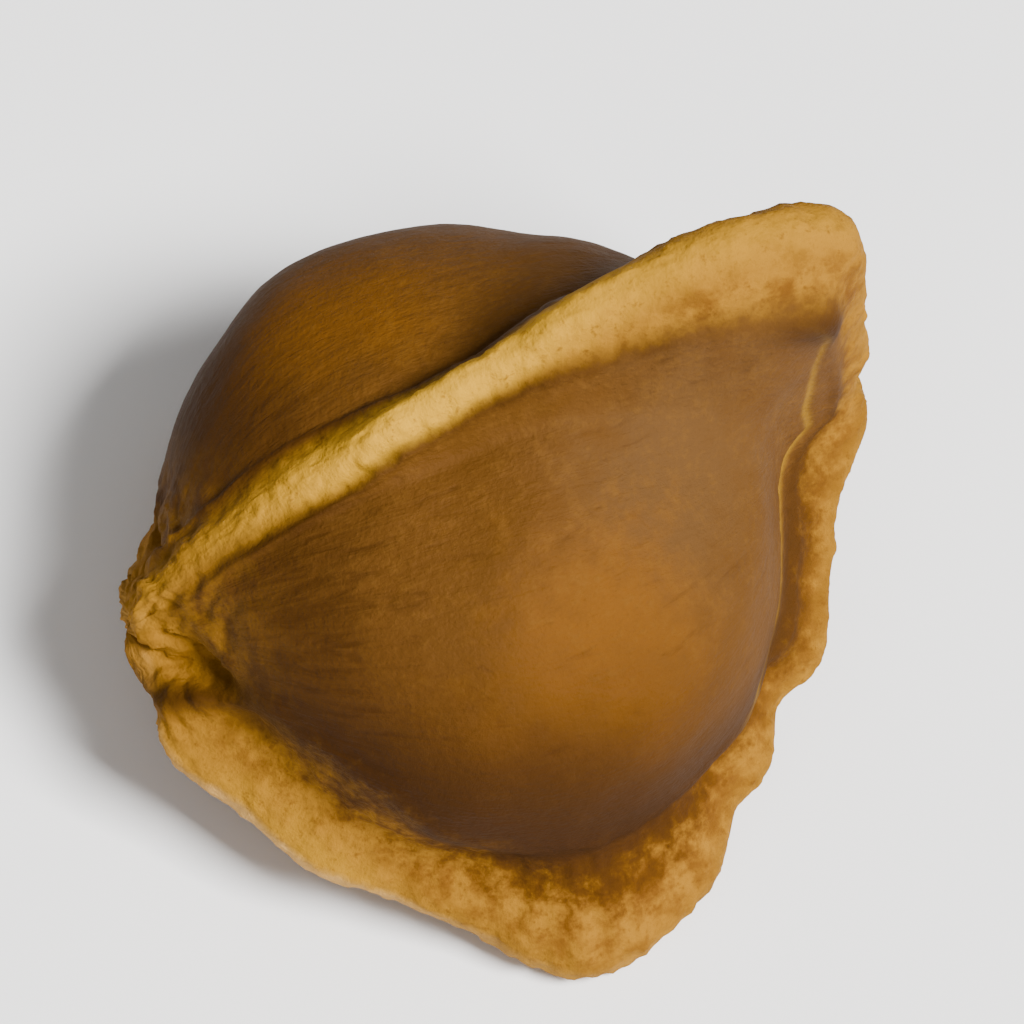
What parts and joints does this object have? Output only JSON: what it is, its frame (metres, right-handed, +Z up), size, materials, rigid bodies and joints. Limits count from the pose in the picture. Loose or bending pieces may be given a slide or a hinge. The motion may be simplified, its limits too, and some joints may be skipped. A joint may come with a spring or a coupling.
{
  "type": "moringa seed",
  "caption": "Dried moringa seed: a round brown body with corky wings worn to ridges, which meet at a pointed tip and a blunt base.",
  "frame": {"origin": "on the floor under the middle of the seed's bounding box", "axes": "+X runs along the seed from its pointed tip to its blunt base, +Z is up as the seed lies on one face, and the face seen best looks towards -Y and up"},
  "size_m": [0.0146, 0.014, 0.0115],
  "materials": {
    "seed_coat": "matt, faintly waxy seed coat with corky edges"
  },
  "bodies": {
    "root": {"moringa_seed": "seed_coat"}
  },
  "joints": []
}
